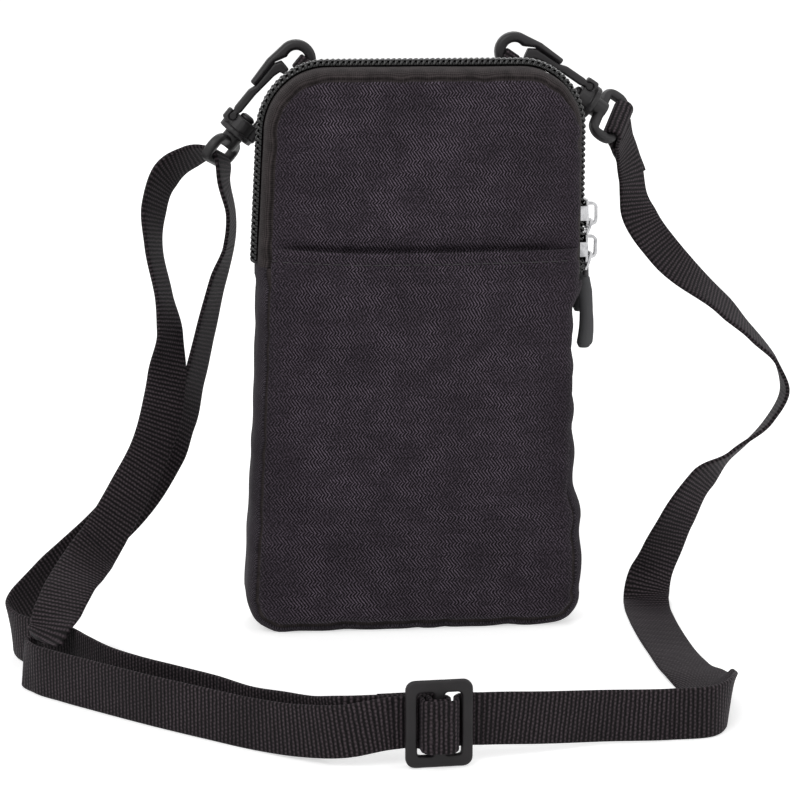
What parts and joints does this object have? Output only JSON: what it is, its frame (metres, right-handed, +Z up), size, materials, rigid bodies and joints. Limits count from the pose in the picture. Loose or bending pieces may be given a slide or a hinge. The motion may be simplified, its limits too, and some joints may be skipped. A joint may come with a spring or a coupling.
{
  "type": "crossbody phone pouch",
  "caption": "Slim upright fabric pouch with a zipped mouth, front slip pocket and a detachable webbing shoulder strap on swivel snap hooks.",
  "frame": {"origin": "middle of the pouch's flat base", "axes": "+Z up the pouch, -Y out of its front, +X to its right side with the zip sliders"},
  "size_m": [0.2551, 0.1755, 0.1871],
  "materials": {
    "shell_fabric": "dark charcoal twill",
    "lining_fabric": "thin lining cloth",
    "foam": "soft foam pad",
    "zip_tape": "woven tape",
    "zip_coil": "glossy moulded coil",
    "webbing": "ribbed webbing",
    "hook_plastic": "satin moulded plastic",
    "grip_rubber": "matte rubber",
    "zip_metal": "bright nickel plate"
  },
  "bodies": {
    "pouch": {"front_panel": "shell_fabric", "front_pocket": "shell_fabric", "front_pad": "foam", "front_lining": "lining_fabric", "back_panel": "shell_fabric", "back_pad": "foam", "back_lining": "lining_fabric", "lower_gusset": "shell_fabric", "gusset_lining": "lining_fabric", "seam_binding_front": "lining_fabric", "seam_binding_rear": "lining_fabric", "zip_tape_front": "zip_tape", "zip_tape_rear": "zip_tape", "zip_coil_front": "zip_coil", "zip_coil_rear": "zip_coil", "left_tab": "webbing", "right_tab": "webbing", "strap_right_hang": "webbing", "strap_front_run": "webbing", "strap_left_loop": "webbing", "strap_rear_run": "webbing"},
    "zip_slider_lower": {"zip_slider_lower": "zip_metal"},
    "zip_pull_lower": {"zip_link_lower": "zip_metal", "zip_cord_lower": "webbing", "zip_grip_lower": "grip_rubber"},
    "zip_slider_upper": {"zip_slider_upper": "zip_metal"},
    "zip_pull_upper": {"zip_link_upper": "zip_metal", "zip_cord_upper": "webbing", "zip_grip_upper": "grip_rubber"},
    "left_hook": {"left_hook": "hook_plastic"},
    "left_gate": {"left_gate": "hook_plastic"},
    "left_eye": {"left_eye": "hook_plastic"},
    "right_hook": {"right_hook": "hook_plastic"},
    "right_gate": {"right_gate": "hook_plastic"},
    "right_eye": {"right_eye": "hook_plastic", "strap_near_end": "webbing"},
    "strap_glide": {"strap_glide": "hook_plastic", "strap_glide_loop": "webbing"}
  },
  "joints": [
    {"name": "zip_lower_slide", "type": "slide", "parent": "pouch", "child": "zip_slider_lower", "axis": [0, 0, 1], "range_m": [-0.004, 0], "deforming": ["zip_coil_front", "zip_coil_rear"]},
    {"name": "zip_lower_pull", "type": "hinge", "parent": "zip_slider_lower", "child": "zip_pull_lower", "pos_m": [0.0554, 0, 0.11895], "axis": [0, -1, 0], "range_deg": [0, 120]},
    {"name": "zip_upper_slide", "type": "slide", "parent": "pouch", "child": "zip_slider_upper", "axis": [0, 0, 1], "range_m": [0, 0.024], "deforming": ["zip_coil_front", "zip_coil_rear"]},
    {"name": "zip_upper_pull", "type": "hinge", "parent": "zip_slider_upper", "child": "zip_pull_upper", "pos_m": [0.0554, 0, 0.12945], "axis": [0, -1, 0], "range_deg": [0, 120]},
    {"name": "left_hook_swing", "type": "hinge", "parent": "pouch", "child": "left_hook", "pos_m": [-0.0362, 0.0196, 0.179], "axis": [0, 1, 0], "range_deg": [0, 35], "deforming": ["strap_left_loop"]},
    {"name": "left_gate_spring", "type": "hinge", "parent": "left_hook", "child": "left_gate", "pos_m": [-0.05639, 0.0196, 0.16148], "axis": [0, 1, 0], "range_deg": [0, 6.5], "stiffness_Nm_per_rad": 0.06, "springref_deg": -5.73},
    {"name": "left_eye_swivel", "type": "hinge", "parent": "left_hook", "child": "left_eye", "pos_m": [-0.0362, 0.0196, 0.179], "axis": [0.6428, 0, 0.766], "range_deg": [-45, 45], "deforming": ["strap_left_loop"]},
    {"name": "right_hook_swing", "type": "hinge", "parent": "pouch", "child": "right_hook", "pos_m": [0.0333, 0.0196, 0.181], "axis": [0, -1, 0], "range_deg": [0, 35], "deforming": ["strap_right_hang"]},
    {"name": "right_gate_spring", "type": "hinge", "parent": "right_hook", "child": "right_gate", "pos_m": [0.05754, 0.0196, 0.16972], "axis": [0, -1, 0], "range_deg": [0, 6.5], "stiffness_Nm_per_rad": 0.06, "springref_deg": -5.73},
    {"name": "right_eye_swivel", "type": "hinge", "parent": "right_hook", "child": "right_eye", "pos_m": [0.0333, 0.0196, 0.181], "axis": [-0.829, 0, 0.5592], "range_deg": [-45, 45], "deforming": ["strap_right_hang"]},
    {"name": "strap_adjust", "type": "slide", "parent": "pouch", "child": "strap_glide", "axis": [0.9986, 0.0523, 0], "range_m": [-0.01, 0.01], "deforming": ["strap_front_run", "strap_rear_run"]}
  ]
}
